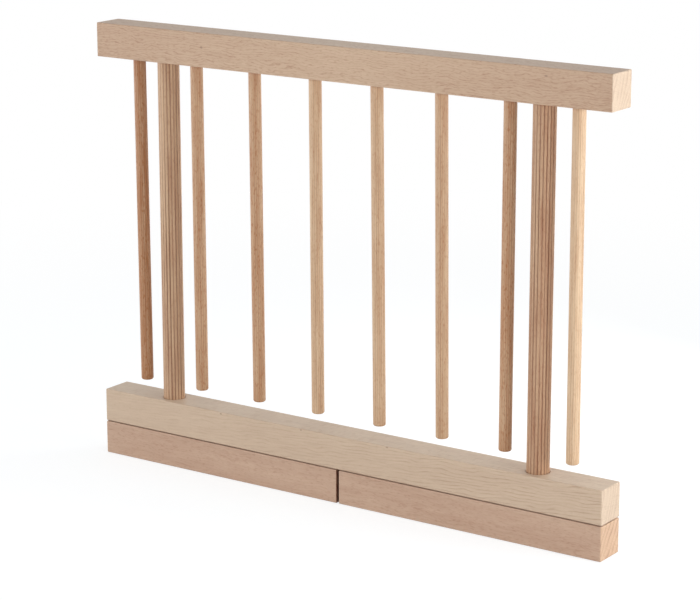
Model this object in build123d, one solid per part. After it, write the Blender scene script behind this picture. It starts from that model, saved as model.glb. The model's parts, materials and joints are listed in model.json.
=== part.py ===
from build123d import *
import os

# A beech rack for drying fresh pasta, in millimetres, standing on its feet.
# X runs along the rack, Y is the back, Z is up; the origin is on the table under the middle.
# A stand of a rail and two fluted posts carries a head with a row of thin dowels.
# The head lifts off the posts. Each foot turns on a screw under one end of the rail.

# The square stock that the head, the rail and the feet are sawn from
rack_length = 430.0
bar_side = 25.0
clear_height = 255.0          # from the rail's top to the head's underside
head_arris = 0.4              # sharp edges of the head, only just broken
bar_round = 0.8               # softer edges of the rail and the feet

# Thin fluted dowels, glued into the head, with their free ends hanging over the rail
dowel_count = 8
dowel_diameter = 9.2
dowel_end_margin = 30.5       # from the head's end to the first dowel's middle
dowel_hole_depth = 14.0
dowel_end_gap = 10.0          # from a dowel's free end to the rail
dowel_end_round = 1.5
dowel_flute_count = 18
dowel_flute_radius = 0.25
dowel_leans = (0.3, 0.2, 0.4, 0.4, 0.7, 0.7, 0.0, 0.2)   # degrees, free end towards +X

# Fluted posts, glued into the rail and loose in the head
post_diameter = 16.0
post_flute_count = 20
post_flute_radius = 0.55
post_hole_depth = 18.0        # glued end, in the rail
post_tip_chamfer = 1.0
head_socket_depth = 15.0      # loose end, in the head
socket_mouth = 0.6            # break on the rim of each hole that takes a post

# Feet, in line under the rail when the rack is put away
feet_gap = 2.0                # saw cut between the two feet
foot_inner_arris = 0.4
counterbore_diameter = 13.0
counterbore_depth = 8.0

# The screw that each foot turns on, with a washer under its head and a slip washer on top
screw_length = 35.0           # under the head
screw_diameter = 5.0
screw_core_diameter = 3.4
screw_thread_length = 20.0
screw_pitch = 2.2
screw_tip_length = 4.0
screw_head_diameter = 9.5
screw_head_height = 3.2
screw_head_round = 1.6
screw_slot_length = 5.4
screw_slot_width = 1.1
screw_slot_depth = 1.9
head_washer_diameter = 11.0
head_washer_thickness = 1.0
slip_washer_diameter = 18.0
slip_washer_thickness = 0.5

# Fits
glue_gap = 0.05               # around a glued end or a driven screw
socket_gap = 0.3              # around a post in the head
pivot_gap = 0.08              # around the screw in the foot
washer_gap = 0.2              # around the screw in its washers
drill_spare = 1.5             # how much deeper the screw's hole is than the screw
overrun = 2.0                 # how far a cutter passes the face that it opens

# Levels, from the table up
foot_top = bar_side
rail_bottom = foot_top + slip_washer_thickness
rail_top = rail_bottom + bar_side
head_bottom = rail_top + clear_height
head_top = head_bottom + bar_side

# Places along the rack
dowel_pitch = (rack_length - 2 * dowel_end_margin) / (dowel_count - 1)
dowel_places = [dowel_end_margin + i * dowel_pitch - rack_length / 2 for i in range(dowel_count)]
post_place = (dowel_places[-1] + dowel_places[-2]) / 2
pivot_place = rack_length / 2 - bar_side / 2


def bar(middle, bottom, length):
    """A length of the square stock along X."""
    return Pos(middle, 0, bottom + bar_side / 2) * Box(length, bar_side, bar_side)


def cutter(radius, depth, mouth=0):
    """A blind drill hole: its mouth is at z = 0, it goes up, and its rim may be broken."""
    hole = Pos(0, 0, -overrun) * Cylinder(radius, depth + overrun, align=(Align.CENTER, Align.CENTER, Align.MIN))
    if mouth:
        rim = Cone(radius + mouth + overrun, radius, mouth + overrun, align=(Align.CENTER, Align.CENTER, Align.MIN))
        hole += Pos(0, 0, -overrun) * rim
    return hole


def washer(diameter, thickness, bottom):
    """A flat ring round the screw at x = 0."""
    ring = Circle(diameter / 2) - Circle(screw_diameter / 2 + washer_gap)
    return Pos(0, 0, bottom) * extrude(ring, thickness)


def fluted(diameter, flute_count, flute_radius, length):
    """Dowel rod from z = 0 up, with fine round flutes all round it and along its whole length."""
    flutes = PolarLocations(diameter / 2, flute_count) * Circle(flute_radius)
    return extrude(Circle(diameter / 2) - flutes, length)


def dowel_axis(place, lean):
    """The middle of a dowel's open length, turned with its lean."""
    middle = (rail_top + dowel_end_gap + head_bottom) / 2
    return Pos(place, 0, middle) * Rot(0, -lean, 0)


def dowel(place, lean):
    """A thin fluted dowel: glued end up in the head, rounded free end down."""
    open_half = (head_bottom - rail_top - dowel_end_gap) / 2
    # The hole's floor is square to the dowel, so the end meets it all over.
    length = 2 * open_half + dowel_hole_depth
    blank = Cylinder(dowel_diameter / 2, length, align=(Align.CENTER, Align.CENTER, Align.MIN))
    free_end = blank.edges().filter_by(GeomType.CIRCLE).sort_by(Axis.Z)[0]
    stick = fluted(dowel_diameter, dowel_flute_count, dowel_flute_radius, length) & fillet(free_end, dowel_end_round)
    return dowel_axis(place, lean) * Pos(0, 0, -open_half) * stick


def dowel_hole(place, lean):
    """The hole for one dowel in the head, along the dowel's own axis."""
    open_half = (head_bottom - rail_top - dowel_end_gap) / 2
    return dowel_axis(place, lean) * Pos(0, 0, open_half) * cutter(dowel_diameter / 2 + glue_gap, dowel_hole_depth)


def post(place):
    """A fluted post, glued into the rail's hole and standing to the floor of the head's socket."""
    length = post_hole_depth + clear_height + head_socket_depth
    blank = Cylinder(post_diameter / 2, length, align=(Align.CENTER, Align.CENTER, Align.MIN))
    tips = chamfer(blank.edges().filter_by(GeomType.CIRCLE), post_tip_chamfer)
    shaft = fluted(post_diameter, post_flute_count, post_flute_radius, length) & tips
    return Pos(place, 0, rail_top - post_hole_depth) * shaft


def head():
    """The head bar, with its row of dowel holes and two sockets a side for the posts."""
    block = bar(0, head_bottom, rack_length)
    block = chamfer(block.edges(), head_arris)
    for place, lean in zip(dowel_places, dowel_leans):
        block -= dowel_hole(place, lean)
    socket = cutter(post_diameter / 2 + socket_gap, head_socket_depth, socket_mouth)
    for place in (-post_place, post_place):
        # One socket from below, as stored, and one from the back, for the dowels lying flat.
        block -= Pos(place, 0, head_bottom) * socket
        block -= Pos(place, bar_side / 2, head_bottom + bar_side / 2) * Rot(90, 0, 0) * socket
    return block


def rail():
    """The rail, with a hole on top for each post and one below for each pivot screw."""
    block = bar(0, rail_bottom, rack_length)
    block = fillet(block.edges(), bar_round)
    post_hole = cutter(post_diameter / 2 + glue_gap, post_hole_depth, socket_mouth)
    screw_depth = screw_length - head_washer_thickness - (foot_top - counterbore_depth) - slip_washer_thickness
    screw_hole = cutter(screw_diameter / 2 + glue_gap, screw_depth + drill_spare)
    for side in (-1, 1):
        block -= Pos(side * post_place, 0, rail_top) * Rot(180, 0, 0) * post_hole
        block -= Pos(side * pivot_place, 0, rail_bottom) * screw_hole
    return block


def foot(side):
    """One foot: half the rack's length, with a hole for its screw and a counterbore below."""
    length = (rack_length - feet_gap) / 2
    middle = side * (rack_length - length) / 2
    block = bar(middle, 0, length)
    ends = block.faces().sort_by(Axis.X)
    inner_end = ends[0] if side > 0 else ends[-1]
    outer_edges = [edge for edge in block.edges() if edge not in inner_end.edges()]
    block = fillet(outer_edges, bar_round)
    ends = block.faces().sort_by(Axis.X)
    inner_end = ends[0] if side > 0 else ends[-1]
    block = chamfer(inner_end.edges(), foot_inner_arris)
    block -= Pos(side * pivot_place, 0, 0) * cutter(screw_diameter / 2 + pivot_gap, bar_side + overrun)
    block -= Pos(side * pivot_place, 0, 0) * cutter(counterbore_diameter / 2, counterbore_depth)
    return block


def screw():
    """The pivot screw, head down: the underside of its head is at z = 0, its point is up."""
    shank = screw_diameter / 2
    core = screw_core_diameter / 2
    thread_start = screw_length - screw_thread_length
    ridges = int((screw_thread_length - screw_tip_length) / screw_pitch)
    # Half the outline, from the head's rim up: rings of ridges stand for the thread.
    outline = [(0, 0), (shank, 0), (shank, thread_start)]
    for i in range(ridges):
        foot_of_ridge = thread_start + i * screw_pitch
        outline += [(core, foot_of_ridge + screw_pitch / 2), (shank, foot_of_ridge + screw_pitch)]
    outline += [(core, screw_length - screw_tip_length), (0, screw_length)]
    body = revolve(Plane.XZ * make_face(Polyline(*outline, close=True)), Axis.Z)
    cap = Cylinder(screw_head_diameter / 2, screw_head_height, align=(Align.CENTER, Align.CENTER, Align.MAX))
    cap = fillet(cap.edges().filter_by(GeomType.CIRCLE).sort_by(Axis.Z)[0], screw_head_round)
    slot = Box(
        screw_slot_length, screw_slot_width, screw_slot_depth + overrun, align=(Align.CENTER, Align.CENTER, Align.MIN)
    )
    cross = slot + Rot(0, 0, 90) * slot
    return body + cap - Pos(0, 0, -screw_head_height - overrun) * cross


parts = {"head_bar": head(), "base_rail": rail()}
for number, (place, lean) in enumerate(zip(dowel_places, dowel_leans), start=1):
    parts[f"drying_dowel_{number}"] = dowel(place, lean)
for name, side in (("left", -1), ("right", 1)):
    at_pivot = Pos(side * pivot_place, 0, 0)
    washer_top = counterbore_depth
    parts[f"post_{name}"] = post(side * post_place)
    parts[f"foot_{name}"] = foot(side)
    parts[f"pivot_screw_{name}"] = at_pivot * Pos(0, 0, washer_top - head_washer_thickness) * screw()
    parts[f"head_washer_{name}"] = at_pivot * washer(
        head_washer_diameter, head_washer_thickness, washer_top - head_washer_thickness
    )
    parts[f"slip_washer_{name}"] = at_pivot * washer(slip_washer_diameter, slip_washer_thickness, foot_top)

os.makedirs("parts", exist_ok=True)
for name, solid in parts.items():
    export_step(solid, f"parts/{name}.step")
print(f"{len(parts)} pieces, dowel pitch {dowel_pitch:.2f}, posts at {post_place:.2f}, height {head_top:.1f}")
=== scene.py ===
# %% [markdown]
# A beech rack for drying fresh pasta, dressed around its CAD model.
# The rack is a square rail on two feet. Two fluted posts stand in the rail and carry a head bar, and
# eight thin fluted dowels hang from the head to take the pasta. All of it is plain sanded beech, so
# what makes it look real is the wood: its colour from piece to piece, its grain, and soft light.
# The CAD model is loaded first, as a frame that nothing here moves. Lengths are in metres, and those
# that are easier to think of in millimetres are multiplied by MM.

# %% The frame
import json
import math
from types import SimpleNamespace
import bpy
import numpy as np
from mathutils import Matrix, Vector


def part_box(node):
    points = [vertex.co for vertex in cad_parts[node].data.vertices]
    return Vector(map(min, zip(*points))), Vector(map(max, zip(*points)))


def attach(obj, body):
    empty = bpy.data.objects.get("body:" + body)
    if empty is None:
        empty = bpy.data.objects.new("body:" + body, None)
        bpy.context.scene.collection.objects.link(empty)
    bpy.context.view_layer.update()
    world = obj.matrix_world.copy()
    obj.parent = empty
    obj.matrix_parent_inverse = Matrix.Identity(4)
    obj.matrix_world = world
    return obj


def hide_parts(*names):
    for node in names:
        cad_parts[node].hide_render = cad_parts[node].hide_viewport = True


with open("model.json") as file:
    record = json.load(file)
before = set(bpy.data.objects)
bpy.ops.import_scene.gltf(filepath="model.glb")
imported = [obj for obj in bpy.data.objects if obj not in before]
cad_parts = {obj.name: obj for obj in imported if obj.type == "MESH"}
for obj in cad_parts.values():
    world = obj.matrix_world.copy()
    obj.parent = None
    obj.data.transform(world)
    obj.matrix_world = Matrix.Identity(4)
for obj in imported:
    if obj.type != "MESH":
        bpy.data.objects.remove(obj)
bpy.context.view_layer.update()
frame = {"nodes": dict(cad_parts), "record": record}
MM = 0.001

# %% [markdown]
# The camera stands to the right of the rack and a little above it, far away with a long lens, as for a
# catalogue picture. Its place is given as two angles and a distance from the point that it looks at,
# because those are easier to reason about than three coordinates and three turns.

# %% The camera
view_azimuth = math.radians(34.525)
view_elevation = math.radians(14.203)
view_distance = 1.7346
view_lens = 126.22
film_width = 36.0
view_aim = Vector((3.9, -2.2, 149.4)) * MM


def direction(azimuth, elevation):
    """Unit vector: azimuth 0 points along -Y and turns towards +X, elevation lifts it above the floor."""
    flat = math.cos(elevation)
    return Vector((math.sin(azimuth) * flat, -math.cos(azimuth) * flat, math.sin(elevation)))


lens = bpy.data.cameras.new("studio_camera")
lens.lens = view_lens
lens.sensor_width = film_width
camera = bpy.data.objects.new("studio_camera", lens)
towards_camera = direction(view_azimuth, view_elevation)
camera.location = view_aim + towards_camera * view_distance
camera.rotation_euler = (-towards_camera).to_track_quat("-Z", "Y").to_euler()
bpy.context.scene.collection.objects.link(camera)
bpy.context.scene.camera = camera
bpy.context.scene.view_settings.view_transform = "Standard"
print("camera at", [round(c, 3) for c in camera.location])

# %% [markdown]
# Materials here are sums and products of patterns, and those read best as plain arithmetic. The class
# below wraps one output socket of a node tree. Adding or multiplying two of them adds a Math node, and
# one method adds any other node: its settings are set first, and then its sockets get a value or a link.

# %% Arithmetic on sockets
class Wire:
    """An output socket in a node tree, on which Python's operators work."""

    def __init__(self, tree, socket=None):
        self.tree = tree
        self.socket = socket

    def node(self, kind, settings=None, inputs=None, out=0):
        """Add a node of this kind and give back one of its outputs."""
        made = self.tree.nodes.new(kind)
        for name, value in (settings or {}).items():
            setattr(made, name, value)
        for key, value in (inputs or {}).items():
            if isinstance(value, Wire):
                self.tree.links.new(value.socket, made.inputs[key])
            else:
                made.inputs[key].default_value = value
        return Wire(self.tree, made.outputs[out] if made.outputs else None)

    def math(self, operation, *others):
        """A Math node on this socket and up to two more values."""
        return self.node("ShaderNodeMath", {"operation": operation}, dict(enumerate((self, *others))))

    def __add__(self, other):
        return self.math("ADD", other)

    def __radd__(self, other):
        return self + other

    def __mul__(self, other):
        return self.math("MULTIPLY", other)

    def __rmul__(self, other):
        return self * other

    def __sub__(self, other):
        return self.math("SUBTRACT", other)

    def __rsub__(self, other):
        return self * -1 + other

    def __truediv__(self, other):
        return self.math("DIVIDE", other)

    def between(self, low, high):
        """0 below `low`, 1 above `high` and an easy curve from one to the other."""
        settings = {"interpolation_type": "SMOOTHSTEP"}
        return self.node("ShaderNodeMapRange", settings, {0: self, 1: low, 2: high, 3: 0.0, 4: 1.0})

    def vector(self, operation, *others):
        """A Vector Math node, for colours and places."""
        return self.node("ShaderNodeVectorMath", {"operation": operation}, dict(enumerate((self, *others))))

    def length(self):
        """The length of a vector."""
        return self.node("ShaderNodeVectorMath", {"operation": "LENGTH"}, {0: self}, out="Value")

    def axes(self):
        """The three numbers of a place or a direction."""
        first = self.node("ShaderNodeSeparateXYZ", None, {0: self})
        return [Wire(self.tree, socket) for socket in first.socket.node.outputs]

    def choose(self, at_zero, at_one):
        """The colour `at_zero` where this socket is 0, and `at_one` where it is 1."""
        return self.node("ShaderNodeMix", {"data_type": "RGBA"}, {0: self, 6: at_zero, 7: at_one}, out=2)

    def noise(self, patch, detail=1.0):
        """Smooth noise about zero, mostly within 0.25, in patches of these three lengths."""
        scaled = self.vector("DIVIDE", patch)
        inputs = {"Vector": scaled, "Scale": 1.0, "Detail": detail, "Roughness": 0.55}
        return scaled.node("ShaderNodeTexNoise", None, inputs) - 0.5


def colour(red, green, blue):
    """A colour as picture files count it, from 0 to 255, in the linear light that a shader needs."""
    return (*[((c / 255 + 0.055) / 1.055) ** 2.4 for c in (red, green, blue)], 1.0)


print("sockets add and multiply")

# %% [markdown]
# The studio is a white sweep: a floor that runs into a white background. The camera, and anything that
# mirrors it, sees plain white. The wood is lit by another world, with dark walls, so that the soft
# boxes decide which side of a rod is pale, and a bright, slightly cool ceiling for the tops of the bars.

# %% The world
wall_level = (0.05, 0.05, 0.05, 1)
ceiling_level = (0.78, 0.84, 0.88, 1)
white = (1, 1, 1, 1)


def seen_directly(tree):
    """1 for rays from the camera, off a gloss or through glass, and 0 for those that only light things."""
    ray = Wire(tree).node("ShaderNodeLightPath", out="Is Camera Ray")
    kinds = ray.socket.node.outputs
    for kind in ("Is Glossy Ray", "Is Transmission Ray"):
        ray = ray.math("MAXIMUM", Wire(tree, kinds[kind]))
    return ray


world = bpy.data.worlds.new("white_studio")
bpy.context.scene.world = world
world.use_nodes = True
world.node_tree.nodes.clear()
sky = Wire(world.node_tree).node("ShaderNodeTexCoord", out="Generated")
upwards = sky.axes()[2].between(0.0, 1.0)
walls = upwards.choose(wall_level, ceiling_level)
lighting = walls.node("ShaderNodeBackground", None, {"Color": walls, "Strength": 1.0})
backdrop = walls.node("ShaderNodeBackground", None, {"Color": white, "Strength": 1.0})
mixed = walls.node("ShaderNodeMixShader", None, {0: seen_directly(world.node_tree), 1: lighting, 2: backdrop})
mixed.node("ShaderNodeOutputWorld", None, {"Surface": mixed})
print("light from the walls", wall_level[:3], "and from the ceiling", ceiling_level[:3])

# %% [markdown]
# To the wood, the floor is plain white paper that throws light back up. To the camera it glows as white
# as the background, so that the two have no edge between them, and near the rack it also shows some of
# its real shading, which leaves a soft shadow.

# %% The floor
floor_level = -0.2 * MM
floor_half = 6.0
floor_white = 0.8
paper_level = 0.76      # how bright the lamps and the world make white paper on the floor
shadow_share = 0.35
shadow_near = 0.35      # the floor shows its shading up to here,
shadow_far = 1.10       # and none of it from here on
black = (0, 0, 0, 1)

paper = bpy.data.materials.new("white_paper")
paper.use_nodes = True
paper.node_tree.nodes.clear()
spot = Wire(paper.node_tree).node("ShaderNodeTexCoord", out="Object")
share = (1 - spot.length().between(shadow_near, shadow_far)) * shadow_share
plain = spot.node("ShaderNodeBsdfDiffuse", None, {"Color": (floor_white, floor_white, floor_white, 1)})
shaded = spot.node("ShaderNodeBsdfDiffuse", None, {"Color": share.choose(black, white)})
glow = spot.node("ShaderNodeEmission", None, {"Color": (1 - share * paper_level).choose(black, white)})
shown = spot.node("ShaderNodeAddShader", None, {0: shaded, 1: glow})
surface = spot.node("ShaderNodeMixShader", None, {0: seen_directly(paper.node_tree), 1: plain, 2: shown})
surface.node("ShaderNodeOutputMaterial", None, {"Surface": surface})

corners = np.array([(-1, -1), (1, -1), (1, 1), (-1, 1)]) * floor_half
sweep = bpy.data.meshes.new("studio_floor")
sweep.from_pydata(np.column_stack((corners, np.full(4, floor_level))).tolist(), [], [(0, 1, 2, 3)])
sweep.materials.append(paper)
floor = bpy.data.objects.new("studio_floor", sweep)
bpy.context.scene.collection.objects.link(floor)
print("floor", 2 * floor_half, "m square")

# %% [markdown]
# Five soft boxes do the modelling, all about as low as the rack is high. The side box stands low at the
# left and gives every rod its pale left side. The fill and a weak front box light the long faces of the
# bars. The key stands at the right, almost in line with the row of dowels: it makes the sawn ends
# bright, while each rod but the last stands in the shade of its neighbours. The kicker stands close
# behind and lights the rail's top. It isn't mirrored, because its shine would bleach the rods' edges.

# %% The lamps
def soft_box(name, azimuth, distance, height, level, width, mirrored=True):
    """A square lamp that many metres from the middle of the rack, facing it.

    White paper that faces it from there takes this level of light: power / (pi * distance)^2.
    A lamp that isn't mirrored lights the wood, but leaves no shine on it.
    """
    lamp = bpy.data.lights.new(name, "AREA")
    lamp.size = width
    lamp.energy = level * (math.pi * distance) ** 2
    made = bpy.data.objects.new(name, lamp)
    towards = direction(math.radians(azimuth), 0)
    made.location = towards * distance + Vector((0, 0, height))
    made.rotation_euler = (-towards).to_track_quat("-Z", "Y").to_euler()
    made.visible_camera = False
    made.visible_glossy = mirrored
    bpy.context.scene.collection.objects.link(made)


soft_box("side_box", azimuth=-66, distance=2.2, height=0.17, level=0.28, width=0.3)
soft_box("fill_box", azimuth=-12, distance=2.0, height=0.40, level=0.335, width=1.0)
soft_box("front_box", azimuth=65, distance=1.5, height=0.30, level=0.13, width=0.6)
soft_box("key_box", azimuth=95, distance=0.85, height=0.25, level=0.53, width=0.45)
soft_box("kicker_box", azimuth=158, distance=0.5, height=0.25, level=0.46, width=0.2, mirrored=False)
print("five soft boxes")

# %% [markdown]
# Beech shows, from large to small: slow bands and streaks of tone, the thin wavy lines of its figure,
# short dark flecks where the rays are cut, and fine fibre. A sawn end shows its yearly lines and open
# pores instead. Every piece has its own mix of these. The list below has them all, with the numbers of
# plain beech, and a piece gives only the ones in which it differs. Shares say how much of a pattern it
# has. A patch is the size of a pattern's noise in mm: along the grain, across the rings, along the rings.

# %% What a piece of beech can show
pale_end = colour(222, 202, 178)
plain_beech = {
    "grain": "X",                           # the axis that the grain runs along
    "slope": 0.0,                           # how far it runs out of the piece, in degrees
    "wander": 4.0,                          # how far the fibres swing, in mm
    "bands": 0.14,                          # wide and slow changes of tone
    "band_patch": (170.0, 11.0, 11.0),
    "streaks": 0.10,                        # narrower ones
    "streak_patch": (14.0, 4.0, 2.0),
    "middle": 0.0,                          # how much paler a bar's middle is than its ends
    "figure": 0.06,                         # thin wavy lines
    "figure_spacing": 2.6,                  # between the lines of the figure, in mm
    "figure_patch": (16.0, 3.0, 3.0),
    "swirl": 4.0,                           # how far these lines swing, in mm
    "swirl_patch": (30.0, 8.0, 8.0),
    "growth": 0.0,                          # how much the figure gains towards +X
    "flecks": 0.12,                         # short and dark
    "fleck_patch": (3.0, 14.0, 0.55),
    "fibre": 0.18,                          # lines as fine as a hair
    # The next share paints the edges round a bar's ends paler: partly wear, partly a painted highlight where
    # the rounded edges catch the key light.
    "worn": 0.0,                            # how much paler the edges of its ends are
    # The next share paints shade into the grooves as a browner colour.
    "grooved": 0.0,                         # how brown its grooves are
    "year": 2.6,                            # width of a year's growth, in mm
    "end_lines": 0.25,                      # the lines between the years
    "end_tone": 0.8,                        # a sawn end's place between the deep colour
    "end_colour": pale_end,                 # and this one
    # The next entry paints browner bands of shade where a piece meets another piece or the floor.
    "seams": (),                            # levels with a browner band: (height, reach, share)
    # The next entry picks the end that faces the gap between the feet, painted dark brown: painted shade of
    # the gap, and a scorch from the saw.
    "saw_cut": 0,                           # 1 or -1: the end towards +X or -X is scorched
    "knots": (),                            # dark pin knots: (place, half sizes)
    "haze": 0.15,                           # shine of the fuzz of sanded fibre
    "gloss": 0.5,                           # strength of the mirror-like shine, usually 0.5
}


def look(scale, tone, turn, **own):
    """The look of one piece: plain beech, with the piece's own numbers in their place.

    scale is a deep and a pale colour, tone the piece's place between them, and turn how far its rings
    are turned round the grain, in degrees.
    """
    unknown = set(own) - set(plain_beech)
    assert not unknown, unknown
    return SimpleNamespace(scale=scale, tone=tone, turn=turn, **(plain_beech | own))


print("plain beech:", ", ".join(plain_beech))

# %% [markdown]
# Beech is best painted as a solid, like the log it was sawn from, so that the grain on one face meets
# the grain on the next, and the ends show the rings. The patterns are worked out in log coordinates:
# along the grain, across the rings, and along the rings, all in millimetres. One Mapping node turns a
# point's place in the piece into its place in the log.

# %% Places in a piece and in its log
swing_patch = (26.0, 12.0, 12.0)


def new_material(name):
    """An empty material, and its object coordinates to work from."""
    material = bpy.data.materials.new(name)
    material.use_nodes = True
    material.node_tree.nodes.clear()
    return material, Wire(material.node_tree).node("ShaderNodeTexCoord", out="Object")


def depths(place, low, high):
    """How deep a point lies under a bar's ends, its long sides and its top and bottom, in mm."""
    half = tuple((high - low) / 2)
    offset = place.vector("SUBTRACT", tuple((low + high) / 2)).vector("ABSOLUTE")
    under = offset.node("ShaderNodeVectorMath", {"operation": "SUBTRACT"}, {0: half, 1: offset})
    return under.vector("DIVIDE", (MM, MM, MM)).axes()


def place_in_log(place, low, high, wood):
    """Log coordinates of a point, from the middle of its piece."""
    turns = (math.radians(wood.turn), math.radians(-90 if wood.grain == "Z" else wood.slope), 0)
    inputs = {"Vector": place, "Location": (low + high) / 2, "Rotation": turns, "Scale": (MM, MM, MM)}
    return place.node("ShaderNodeMapping", {"vector_type": "TEXTURE"}, inputs)


def swung(log, wander):
    """Log coordinates that swing slowly to both sides of the grain, as the fibres do."""
    swing = log.noise(swing_patch, 0.0) * wander
    return log.vector("ADD", log.node("ShaderNodeCombineXYZ", None, {1: swing, 2: swing}))


print("places are measured in the piece and in its log")

# %% [markdown]
# A line of the figure, and a yearly line on a sawn end too, is one tooth of a saw tooth: the wood of a
# year darkens slowly, and then stops short where the next year starts.

# %% Lines
rack_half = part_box("head_bar")[1].x / MM
line_full = 0.93                    # a line is darkest at this share of its spacing,
line_stop = 0.95                    # and fades from here on
figure_start = 0.55                 # where a line of the figure starts
figure_least = 0.4                  # how much of a line is left where the figure fades
figure_range = (-0.10, 0.14)        # the noise between which it fades in


def lines(distance, spacing, start):
    """A line at every spacing: a saw tooth that darkens slowly from its start, and then stops short."""
    tooth = (distance / spacing).math("FRACT")
    return tooth.between(start, line_full) * (1 - tooth.between(line_stop, 1.0))


def figure_lines(log, bent, wood):
    """The lines of the figure, which lie along the skin on all four sides: they follow height + depth.

    In log coordinates that sum is across * (cos + sin) + aside * (cos - sin), of the angle of the turn.
    """
    across, aside = bent.axes()[1:]
    turn = math.radians(wood.turn)
    skew = across * (math.cos(turn) + math.sin(turn)) + aside * (math.cos(turn) - math.sin(turn))
    line = lines(skew + bent.noise(wood.swirl_patch, 0.5) * wood.swirl, wood.figure_spacing, figure_start)
    faded = line * (figure_least + log.noise(wood.figure_patch).between(*figure_range))
    return faded * (1 + log.axes()[0] * (wood.growth / rack_half))


print("lines are darkest at", line_full, "of their spacing")

# %% [markdown]
# The patterns that serve more than once, in the colour, the roughness and the relief, are made once and
# kept by name. Flecks are the peaks of a noise, and fibre is a noise so fine across the grain that it
# reads as hairs.

# %% The patterns of one piece
fleck_range = (0.08, 0.20)          # a fleck starts above the first value of its noise, full at the second
hair_patch = (34.0, 0.45, 0.45)
pore_patch = (4.0, 0.5, 0.5)
end_range = (0.2, 0.7)              # how deep in mm a sawn end's own look reaches, and is gone


def patterns(place, low, high, wood):
    """The sockets that a piece's colour, roughness and relief are made from, by name. place is in mm."""
    log = place_in_log(place, low, high, wood)
    bent = swung(log, wood.wander)
    under_x, under_y, under_z = depths(place, low, high)
    under_end = under_x if wood.grain == "X" else under_z
    end = 1 - under_end.between(*end_range)
    pores = log.noise(pore_patch)
    return {
        "place": place.vector("DIVIDE", (MM, MM, MM)),
        "log": log,
        "bent": bent,
        "under_end": under_end,
        "under_side": under_y,
        "under_top": under_z,
        "figure": figure_lines(log, bent, wood),
        "flecks": bent.noise(wood.fleck_patch, 0.0).between(*fleck_range),
        "fibre": bent.noise(hair_patch, 2.0),
        "pores": pores,
        "end": end,
        "open_pores": pores * end,
    }


print("figure, flecks, fibre, pores and ends")

# %% [markdown]
# A point of the skin finds its place on the piece's scale from deep to pale as one sum. The edges round
# the ends get paler, partly from wear and partly as a painted highlight, and the grooves are painted
# darker, as shade.

# %% The colour of the skin
# A paler end edge, partly wear and partly a painted highlight, reaches this far in mm.
edge_reach = 1.4                    # how far in mm a worn edge is paler
# The brown of the shade painted into the grooves.
groove_shade_brown = colour(102, 54, 28)


def skin_colour(pattern, wood):
    """Tone + bands + streaks + fibre - figure - flecks, from deep to pale, with paler end edges from wear and
    a painted highlight, and painted shade in the grooves.
    """
    log, bent = pattern["log"], pattern["bent"]
    shade = wood.tone + log.noise(wood.band_patch) * wood.bands + bent.noise(wood.streak_patch) * wood.streaks
    shade = shade + pattern["fibre"] * wood.fibre - pattern["figure"] * wood.figure
    shade = shade - pattern["flecks"] * wood.flecks
    if wood.middle:
        shade = shade + wood.middle / 2 - log.axes()[0].math("ABSOLUTE") * (wood.middle / rack_half)
    # The edges round the ends are painted paler: partly wear, partly a highlight where the rounded edges
    # catch the key light.
    if wood.worn:
        long_edge = pattern["under_side"].math("MINIMUM", pattern["under_top"])
        corner = pattern["under_end"].math("MAXIMUM", long_edge)
        shade = shade + (1 - corner.between(0.0, edge_reach)) * wood.worn
    skin = shade.choose(*wood.scale)
    # Painted shade in the grooves: the deeper a point lies in its groove, the browner.
    if wood.grooved:
        groove = skin.node("ShaderNodeAttribute", {"attribute_name": "groove"}, out="Fac")
        skin = (groove * wood.grooved).choose(skin, groove_shade_brown)
    return skin


print("worn edges are paler for", edge_reach, "mm")

# %% [markdown]
# The sawn end has a sum of its own. Its yearly lines are circles round the heart of the log. A piece is
# small and the heart is far, so parabolas take the place of the circles: they need no square root.

# %% The colour of a sawn end
ring_radius = 140.0                 # how far in mm the heart of the log is
ring_wobble = 6.0                   # how far in mm the rings are from true circles
wobble_patch = (90.0, 9.0, 30.0)
year_start = 0.35                   # where a yearly line starts
year_patch = (60.0, 7.0, 14.0)      # the lines come and go in patches of this size,
year_range = (-0.25, 0.20)          # and between these values of its noise
end_pores = 0.6
end_flecks = 0.06


def end_colour(pattern, wood):
    """End tone + pores - yearly lines - flecks. Lines follow across + aside^2 / (2 * radius) + wobble."""
    log = pattern["log"]
    across, aside = pattern["bent"].axes()[1:]
    distance = across + aside * aside / (2 * ring_radius) + log.noise(wobble_patch, 0.0) * ring_wobble
    late = lines(distance, wood.year, year_start) * log.noise(year_patch).between(*year_range)
    shade = wood.end_tone + pattern["pores"] * end_pores - late * wood.end_lines
    shade = shade - pattern["flecks"] * end_flecks
    return shade.choose(wood.scale[0], wood.end_colour)


print("the heart of the log is", ring_radius, "mm away")

# %% [markdown]
# Some marks belong to one place of a piece: a browner band of painted shade where two pieces meet or a
# piece stands on the floor, the end that faces the gap between the feet, dark brown from painted shade
# and the saw's scorch, and dark pin knots. Each is mixed over the colour that is there already.

# %% Marks
# The brown of painted shade at the seams, and of the end in the gap between the feet, where it is also the
# saw's scorch.
shaded_and_scorched = colour(108, 54, 28)
# How deep in mm the dark end in the gap starts and is full, how strong it is, and the size of its unevenness.
dark_end_range = (0.6, 0.1)           # how deep in mm the saw's scorching starts, and is full
dark_end_share = 0.85
dark_end_patch = (9.0, 1.2, 30.0)
pin_heart = colour(96, 58, 40)
pin_share = 0.5
pin_range = (0.2, 1.0)              # a pin is dark up to the first share of its size, gone at the second


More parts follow.
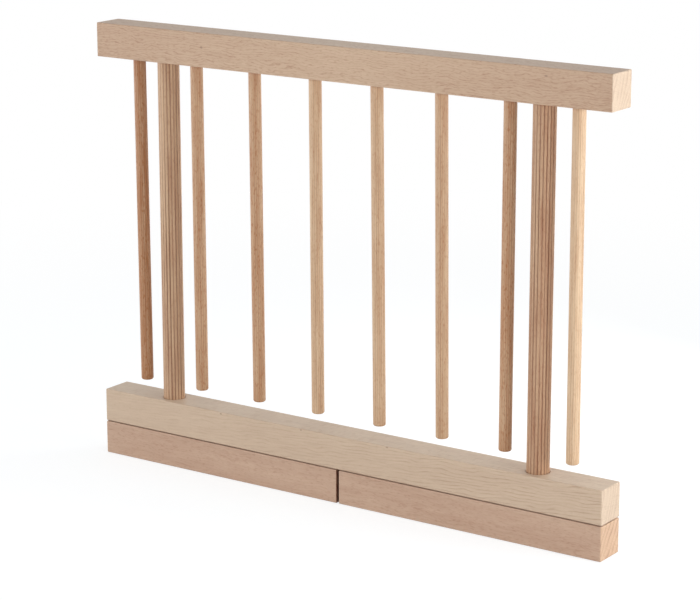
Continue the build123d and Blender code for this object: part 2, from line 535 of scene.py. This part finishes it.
def shaded_seam_bands(skin, pattern, wood):
    """Browner bands of painted shade, full at their level and gone at their reach, on a bar only along its
    long sides.
    """
    height = pattern["place"].axes()[2]
    for level, reach, strength in wood.seams:
        away = (height - level).math("ABSOLUTE")
        away = away.math("MAXIMUM", pattern["under_side"] if wood.grain == "X" else 0.0)
        skin = ((1 - away.between(0.0, reach)) * strength).choose(skin, shaded_and_scorched)
    return skin


def shaded_scorched_end(skin, pattern, low, high, wood):
    """One end, browned a little unevenly: painted shade of the gap that it faces, and a scorch from the saw.
    """
    middle = (low + high).x / MM / 2
    half_length = (high - low).x / MM / 2
    outwards = (pattern["place"].axes()[0] - middle) * wood.saw_cut
    darkened = outwards.between(half_length - dark_end_range[0], half_length - dark_end_range[1])
    return (darkened * (dark_end_share + pattern["log"].noise(dark_end_patch))).choose(skin, shaded_and_scorched)


def pin_knots(skin, pattern, wood):
    """Small dark ellipsoids with soft edges."""
    for spot, half_sizes in wood.knots:
        away = pattern["place"].vector("SUBTRACT", spot).vector("DIVIDE", half_sizes).length()
        skin = ((1 - away.between(*pin_range)) * pin_share).choose(skin, pin_heart)
    return skin


print("seams, scorched ends and pin knots")

# %% [markdown]
# Now the whole material. Sanded beech is fairly dull, and duller on its ends. Its relief is tiny: the
# fibres stand up a little, the flecks and the figure lie lower, and the ends are open with pores. A
# faint sheen stands for the fuzz of sanded fibre, which is pale where the skin turns away.

# %% One piece of beech
sanded_roughness = 0.44
roughness_shares = {"flecks": 0.06, "end": 0.15, "fibre": 0.2}
relief_shares = {"fibre": 0.7, "flecks": -0.35, "figure": -0.15, "open_pores": 0.8}
relief_strength = 0.35
relief_height = 0.12 * MM
sheen_tint = colour(255, 252, 240)


def total(start, pattern, shares):
    """A number plus a share of each of these patterns."""
    for name, part in shares.items():
        start = start + pattern[name] * part
    return start


def beech(name, node, wood):
    """Sanded beech for one piece, as its look says."""
    low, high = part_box(node)
    material, place = new_material(name)
    pattern = patterns(place, low, high, wood)
    skin = pattern["end"].choose(skin_colour(pattern, wood), end_colour(pattern, wood))
    # Painted shade: browner seams, and the dark end that faces the gap between the feet.
    skin = shaded_seam_bands(skin, pattern, wood)
    if wood.saw_cut:
        skin = shaded_scorched_end(skin, pattern, low, high, wood)
    skin = pin_knots(skin, pattern, wood)

    relief = total(0.0, pattern, relief_shares)
    inputs = {"Strength": relief_strength, "Distance": relief_height, "Height": relief}
    bump = relief.node("ShaderNodeBump", None, inputs)
    roughness = total(sanded_roughness, pattern, roughness_shares)
    inputs = {"Base Color": skin, "Roughness": roughness, "Normal": bump, "Specular IOR Level": wood.gloss}
    inputs |= {"Sheen Weight": wood.haze, "Sheen Roughness": 0.5, "Sheen Tint": sheen_tint}
    finish = skin.node("ShaderNodeBsdfPrincipled", None, inputs)
    finish.node("ShaderNodeOutputMaterial", None, {"Surface": finish})
    return material


def dress(node, material):
    """Give a CAD piece this material in every slot."""
    for slot in frame["nodes"][node].material_slots:
        slot.material = material
    print(node, "wears", material.name)


# %% [markdown]
# The four square bars stay as the CAD model has them, with their broken edges and drilled holes, and
# get wood from four different boards. The head is sawn along the rings, so its front shows a wavy
# figure, palest in the middle. Two small dark pin knots lie where the real board has them.

# %% The head
head_scale = (colour(150, 104, 76), colour(226, 200, 170))
head_pins = (
    ((-117.9, -12.5, 320.0), (1.6, 3.0, 1.2)),
    ((165.6, -12.5, 324.9), (1.9, 3.0, 1.0)),
)
head_look = look(
    head_scale, tone=0.49, turn=-26, middle=0.16, streaks=0.17,
    figure=0.15, figure_spacing=2.0, figure_patch=(7.0, 2.0, 2.0), swirl=3.2, swirl_patch=(8.0, 3.6, 3.6),
    flecks=0.13, year=4.2, end_tone=0.76, end_lines=0.24, knots=head_pins, haze=0.10,
)
dress("head_bar", beech("beech_head", "head_bar", head_look))

# %% [markdown]
# The rail is greyer than the head. Its ripple runs slightly out of the bar and gets stronger towards
# the right, and its lower edge is painted browner, as the shade where it meets the feet.

# %% The rail
rail_scale = (colour(148, 110, 84), colour(226, 204, 178))
rail_pins = (
    ((-104.7, -12.5, 49.4), (1.4, 2.5, 0.9)),
    ((-32.0, -12.5, 49.6), (1.2, 2.5, 0.8)),
    ((42.6, -12.5, 49.8), (1.6, 2.5, 0.7)),
)
rail_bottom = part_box("base_rail")[0].z / MM
rail_look = look(
    rail_scale, tone=0.59, turn=-8, slope=-4, wander=2.0, streaks=0.17,
    figure=0.12, figure_spacing=2.5, figure_patch=(12.0, 2.4, 2.4), swirl=3.0, swirl_patch=(14.0, 5.0, 5.0),
    growth=0.7, flecks=0.05, worn=0.16, year=4.0, end_tone=0.70, end_lines=0.22,
    seams=((rail_bottom, 0.9, 0.7),), knots=rail_pins, haze=0.10,
)
dress("base_rail", beech("beech_rail", "base_rail", rail_look))

# %% [markdown]
# The feet are plainer and rosier, with the rings turned one way in the left foot and the other way in
# the right one. Their lower edges are painted browner too, as the shade where they stand on the floor, and
# the two ends that meet in the middle are painted dark brown: the shade of the gap between them, and a
# scorch from the saw.

# %% The feet
foot_scale = (colour(150, 104, 80), colour(226, 198, 172))
foot_end = colour(218, 186, 154)
for side, turn, saw_cut in (("left", 30, 1), ("right", -34, -1)):
    foot_look = look(
        foot_scale, tone=0.48, turn=turn, bands=0.3, streaks=0.20, worn=0.16,
        year=4.5, end_tone=0.72, end_colour=foot_end, end_lines=0.38,
        seams=((0.0, 0.7, 0.55),), saw_cut=saw_cut, haze=0.10,
    )
    dress(f"foot_{side}", beech(f"beech_foot_{side}", f"foot_{side}", foot_look))

# %% [markdown]
# The dowels and the posts are turned rods with fine grooves all round. The CAD model has them as sharp
# little channels, right in size and place. The real grooves are pressed, with soft shoulders, and no
# two are equally deep, so each rod is replaced by a surface: the radius as a function of the angle
# round the rod and of the place along it. The axis of each rod is read from its CAD piece.

# %% The axis and the ends of a rod
near_end = 2.0 * MM     # points this close to an end belong to it
round_steps = 9         # points along a rounded edge
face_share = 0.93       # how far out the first ring of an end face lies


def rod_axis(node):
    """The two ends of a rod's middle line: the middle of the box round its points near each end."""
    mesh = frame["nodes"][node].data
    points = np.empty(len(mesh.vertices) * 3, np.float32)
    mesh.vertices.foreach_get("co", points)
    points = points.reshape(-1, 3).astype(float)
    heights = points[:, 2]
    low, high = heights.min(), heights.max()
    ends = []
    for level, near in ((low, heights < low + near_end), (high, heights > high - near_end)):
        middle = (points[near].min(0) + points[near].max(0)) / 2
        ends.append(np.array((middle[0], middle[1], level)))
    return ends


def end_outline(radius, ease, rounded):
    """Distance from the rod's end and radius there, from the face's middle out to the full radius.

    A rounded end is a quarter circle of radius `ease`, and a chamfered end is one straight cut.
    """
    angles = np.linspace(0, math.pi / 2, round_steps if rounded else 2)
    deep = ease * (1 - np.cos(angles))
    radii = radius - ease + ease * np.sin(angles)
    inner = (radius - ease) * face_share
    return np.append(0, deep), np.append(inner, radii)


print("dowel 1 runs from", *[(end / MM).round(1) for end in rod_axis("drying_dowel_1")])

# %% [markdown]
# A groove's depth is a bell curve across it. How strong a groove is and where it swells is drawn by lot,
# with a seed for each rod, so that every run draws the same.

# %% Pressed grooves
steps_per_flute = 14
weakest_groove = 0.7    # the least that a groove may draw, as a share of the full depth
firm_share = 0.28       # how much of the depth is lost a quarter turn away from the firm side
swell_share = 0.2       # how much a groove swells and fades along the rod,
swell_length = 37.0     # and how many mm that takes for each radian of its wave
oval_depth = 0.02       # mm by which a rod is out of round


def pressed_in(radius, flutes, depth, half_width, places, seed, firm_side):
    """The columns' angles, the depth of the groove at every point, and how far the rod is out of round.

    groove = d * exp(-(s / w)^2), where s is the distance along the skin from the nearest groove's
    middle and w its half width. The depth d differs from groove to groove, is greatest on the firm
    side, where the tool pressed hardest, and swells and fades along the rod.
    """
    columns = np.arange(flutes * steps_per_flute)
    angles = columns * 2 * math.pi / len(columns)
    number = columns // steps_per_flute
    beside = ((columns % steps_per_flute) / steps_per_flute - 0.5) * 2 * math.pi * radius / flutes
    facing = 2 * math.pi * (np.arange(flutes) + 0.5) / flutes
    firm = 1 - firm_share + firm_share * np.cos(facing - math.radians(firm_side))
    draw = np.random.default_rng(seed)
    strength = (draw.uniform(weakest_groove, 1.0, flutes) * firm)[number]
    phase = draw.uniform(0, 2 * math.pi, flutes)[number]
    swell = (1 + swell_share * np.sin(places / swell_length + phase)) / (1 + swell_share)
    groove = depth * strength * swell * np.exp(-(beside / half_width) ** 2)
    return angles, groove, oval_depth * (1 + np.cos(2 * angles + phase[0]))


print(steps_per_flute, "points from groove to groove")

# %% [markdown]
# The rod is a grid of points, one row for each ring round it and one column for each angle, closed by
# a fan of triangles at both ends. How deep a point lies in its groove is kept with the point as an
# attribute, so that the material can paint shade into the groove.

# %% A fluted rod as a surface
ring_step = 5.0         # mm between two rings of points


def grid_points(start, stop, places, angles, radii):
    """Points round the line from start to stop: start + place * along + radius * (cos, sin) across."""
    along = (stop - start) / np.linalg.norm(stop - start)
    sideways = np.cross((0, 1, 0), along)
    sideways /= np.linalg.norm(sideways)
    forward = np.cross(along, sideways)
    across = (radii * np.cos(angles))[..., None] * sideways + (radii * np.sin(angles))[..., None] * forward
    return start + MM * (places[..., None] * along + across)


def grid_faces(rows, columns):
    """Four-sided faces between neighbouring rings, and a fan from each end ring to a point of its own."""
    ring = np.arange(columns)
    after = (ring + 1) % columns
    row = np.arange(rows - 1)[:, None] * columns
    sides = np.stack((row + ring, row + after, row + after + columns, row + ring + columns), axis=-1)
    last = (rows - 1) * columns
    low_fan = np.stack((after, ring, np.full(columns, rows * columns)), axis=-1)
    high_fan = np.stack((ring + last, after + last, np.full(columns, rows * columns + 1)), axis=-1)
    return sides.reshape(-1, 4).tolist() + low_fan.tolist() + high_fan.tolist()


def fluted_rod(name, node, radius, flutes, depth, half_width, low_ease, high_ease, rounded, seed,
               firm_side=0.0):
    """A grooved rod, closed at both ends, along the axis of its CAD piece.

    radius(angle, place) = the smaller of the end's outline and R - groove - out of round.
    """
    start, stop = rod_axis(node)
    length = np.linalg.norm(stop - start) / MM
    low_deep, low_radii = end_outline(radius, low_ease, rounded)
    high_deep, high_radii = end_outline(radius, high_ease, False)
    body = np.arange(low_ease + ring_step, length - high_ease - ring_step / 2, ring_step)
    places = np.concatenate((low_deep, body, length - high_deep[::-1]))[:, None]
    outline = np.concatenate((low_radii, np.full(len(body), radius), high_radii[::-1]))[:, None]
    angles, groove, oval = pressed_in(radius, flutes, depth, half_width, places, seed, firm_side)
    radii = np.minimum(outline, radius - groove - oval)
    points = grid_points(start, stop, places, angles, radii)
    points = np.concatenate((points.reshape(-1, 3), (start, stop)))

    mesh = bpy.data.meshes.new(name)
    mesh.from_pydata(points.tolist(), [], grid_faces(len(places), len(angles)))
    mesh.polygons.foreach_set("use_smooth", np.ones(len(mesh.polygons), bool))
    sunk = np.append(np.broadcast_to(groove / depth, radii.shape), (0, 0))
    mesh.attributes.new("groove", "FLOAT", "POINT").data.foreach_set("value", sunk.astype(np.float32))
    mesh.update()
    made = bpy.data.objects.new(name, mesh)
    bpy.context.scene.collection.objects.link(made)
    print(name, "is", round(length, 1), "mm long, with", len(mesh.polygons), "faces")
    return made


# %% [markdown]
# A new rod takes the place of its CAD piece: it rides on the same body, so it moves with the same
# joint, and the CAD piece is hidden.

# %% Standing in for a CAD piece
def body_of(node):
    """The body that a CAD piece rides on."""
    return next(name for name, pieces in frame["record"]["behaviour"]["bodies"].items() if node in pieces)


def stand_in(piece, node, material):
    """Put a new piece in the place of its CAD piece: same body, new wood, and the CAD piece hidden."""
    piece.data.materials.append(material)
    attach(piece, body_of(node))
    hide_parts(node)


print("dowel 1 rides on the", body_of("drying_dowel_1"))

# %% [markdown]
# No two dowels of a real rack come from the same tree, and it shows: the first is a deep reddish brown,
# the last is nearly cream. Each dowel has a tone of its own on the scale from deep to pale, and its own
# turn of the rings, both chosen so that its darker side faces as on the real one. The streaks
# along a dowel are longer and stronger than on a bar, its flecks are finer and show more on a deep
# dowel than on a pale one, and close under the head it is a little browner.

# %% The dowels
dowel_shape = {
    "radius": 4.6, "flutes": 18, "depth": 0.30, "half_width": 0.30,
    "low_ease": 1.5, "high_ease": 0.4, "rounded": True,
}
dowel_scale = (colour(166, 110, 68), colour(226, 198, 164))
dowel_turns = (287, 334, 101, 348, 155, 322, 89, 296)
dowel_tones = (0.15, 0.37, 0.35, 0.60, 0.57, 0.50, 0.32, 0.72)
head_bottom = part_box("head_bar")[0].z / MM

for number, (turn, tone) in enumerate(zip(dowel_turns, dowel_tones), start=1):
    node = f"drying_dowel_{number}"
    piece = fluted_rod(f"dowel_{number}", node, seed=number, **dowel_shape)
    # The browner band close under the head is painted shade.
    dowel_look = look(
        dowel_scale, tone, turn, grain="Z", wander=1.0, bands=0.5, band_patch=(40.0, 6.0, 6.0),
        streaks=0.55, streak_patch=(50.0, 1.6, 1.6), flecks=0.30 - 0.25 * tone, fleck_patch=(2.6, 0.9, 0.6),
        fibre=0.5, grooved=0.32, seams=((head_bottom, 3.6, 0.5),), haze=0.08, gloss=0.4,
    )
    stand_in(piece, node, beech(f"beech_dowel_{number}", node, dowel_look))

# %% [markdown]
# The posts are thicker, and their grooves are deep, painted brown inside as shade, and strongest on the right
# side. They are darker than the bars, with long streaks. A narrow brown band of painted shade lies round
# them where they go into the head.

# %% The posts
post_shape = {
    "radius": 8.0, "flutes": 20, "depth": 0.75, "half_width": 0.34,
    "low_ease": 1.0, "high_ease": 1.0, "rounded": False, "firm_side": -15.0,
}
post_scale = (colour(158, 108, 78), colour(218, 186, 152))
posts = (("left", 20, 0.57), ("right", 11, 0.43))      # side, turn of the rings, tone
first_post_seed = 20

for seed, (side, turn, tone) in enumerate(posts, start=first_post_seed):
    node = f"post_{side}"
    piece = fluted_rod(f"post_{side}_fluted", node, seed=seed, **post_shape)
    post_look = look(
        post_scale, tone, turn, grain="Z", wander=1.0, bands=0.7, band_patch=(60.0, 8.0, 8.0),
        streaks=0.60, streak_patch=(70.0, 2.0, 2.0), flecks=0.14, fleck_patch=(3.0, 1.0, 0.7),
        fibre=0.5, grooved=1.0, seams=((head_bottom, 2.4, 0.35),), haze=0.06, gloss=0.3,
    )
    stand_in(piece, node, beech(f"beech_post_{side}", node, post_look))

# %% [markdown]
# The screws and washers under the feet are seen only from below or with a foot turned out. Zinc plate
# is bright but never a clean mirror, so its roughness wanders and faint turning marks run round it.
# The thin washers between rail and feet are pressed fibre, dull and brown.

# %% Steel and fibre
zinc_colour = colour(205, 207, 210)
fibre_colour = colour(84, 52, 40)
darker_share = 0.6          # the dark spots' share of the colour
usual_tone = 0.75           # how far from dark spots to full colour the finish usually is
roughness_wander = 0.3


def plain_finish(name, base, metal, roughness, patch, wander, depth):
    """One colour with noise of this patch size in its tone and roughness, and a fine relief."""
    material, place = new_material(name)
    cloud = place.vector("DIVIDE", (MM, MM, MM)).noise(patch, 3.0)
    darker = (*[darker_share * c for c in base[:3]], 1)
    skin = (usual_tone + cloud * wander).choose(darker, base)
    bump = cloud.node("ShaderNodeBump", None, {"Strength": 0.4, "Distance": depth, "Height": cloud})
    inputs = {"Base Color": skin, "Roughness": roughness + cloud * roughness_wander, "Metallic": metal}
    finish = skin.node("ShaderNodeBsdfPrincipled", None, inputs | {"Normal": bump})
    finish.node("ShaderNodeOutputMaterial", None, {"Surface": finish})
    return material


zinc = plain_finish(
    "zinc_steel", zinc_colour, metal=1.0, roughness=0.32,
    patch=(1.2, 1.2, 0.3), wander=1.0, depth=0.03 * MM,
)
pressed_fibre = plain_finish(
    "pressed_fibre", fibre_colour, metal=0.0, roughness=0.8,
    patch=(0.8, 0.8, 0.8), wander=1.2, depth=0.05 * MM,
)
for side in ("left", "right"):
    dress(f"pivot_screw_{side}", zinc)
    dress(f"head_washer_{side}", zinc)
    dress(f"slip_washer_{side}", pressed_fibre)
